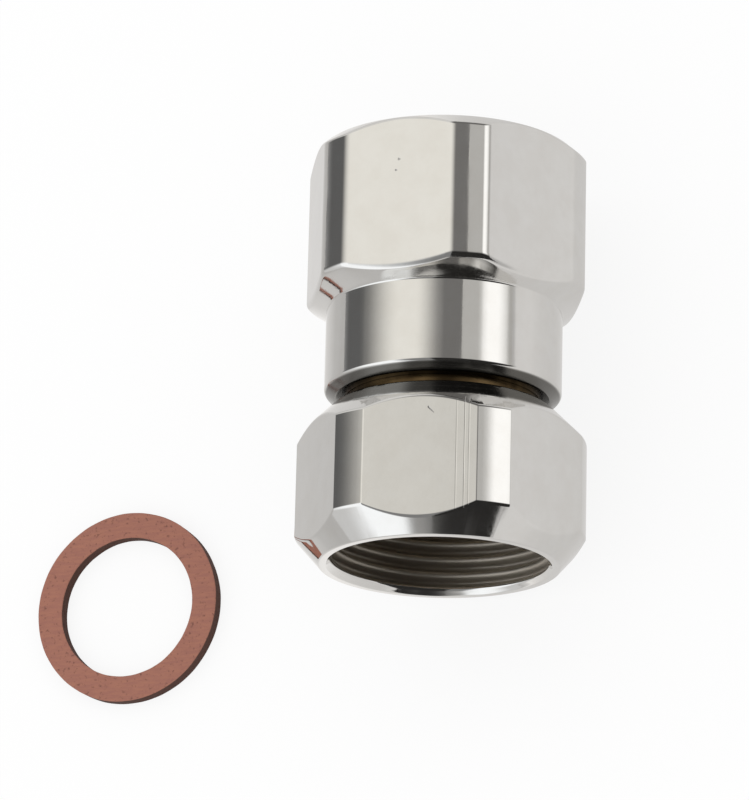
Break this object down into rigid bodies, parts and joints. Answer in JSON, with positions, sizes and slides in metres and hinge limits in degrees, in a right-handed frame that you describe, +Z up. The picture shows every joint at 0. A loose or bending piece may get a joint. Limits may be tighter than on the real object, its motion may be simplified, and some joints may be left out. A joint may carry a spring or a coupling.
{
  "type": "straight pipe coupling",
  "caption": "Straight swivel pipe coupling: a chromed hexagon socket and collar, a captive union nut on a brass tailpiece, and a loose flat fibre gasket.",
  "frame": {"origin": "the centre of the union nut's mouth, on the coupling's axis", "axes": "+Y along the coupling's axis, from the union nut's mouth to the socket's open end; +Z up, square to the flat of the socket that faces up; +X to the right of an eye that looks along +Y"},
  "size_m": [0.0726, 0.0573, 0.032],
  "materials": {
    "chrome_plating": "polished",
    "bare_brass": "satin",
    "spring_wire": "satin",
    "red_fibre": "matte"
  },
  "bodies": {
    "coupling": {"coupling_body": "chrome_plating", "tailpiece": "bare_brass", "gasket": "red_fibre"},
    "ring": {"retaining_ring": "spring_wire"},
    "nut": {"union_nut": "chrome_plating"}
  },
  "joints": [
    {"name": "nut_spin", "type": "hinge", "parent": "coupling", "child": "ring", "pos_m": [0, 0.0147, 0], "axis": [0, 1, 0], "continuous": true},
    {"name": "nut_slide", "type": "slide", "parent": "ring", "child": "nut", "axis": [0, 1, 0], "range_m": [0, 0.0011]}
  ]
}
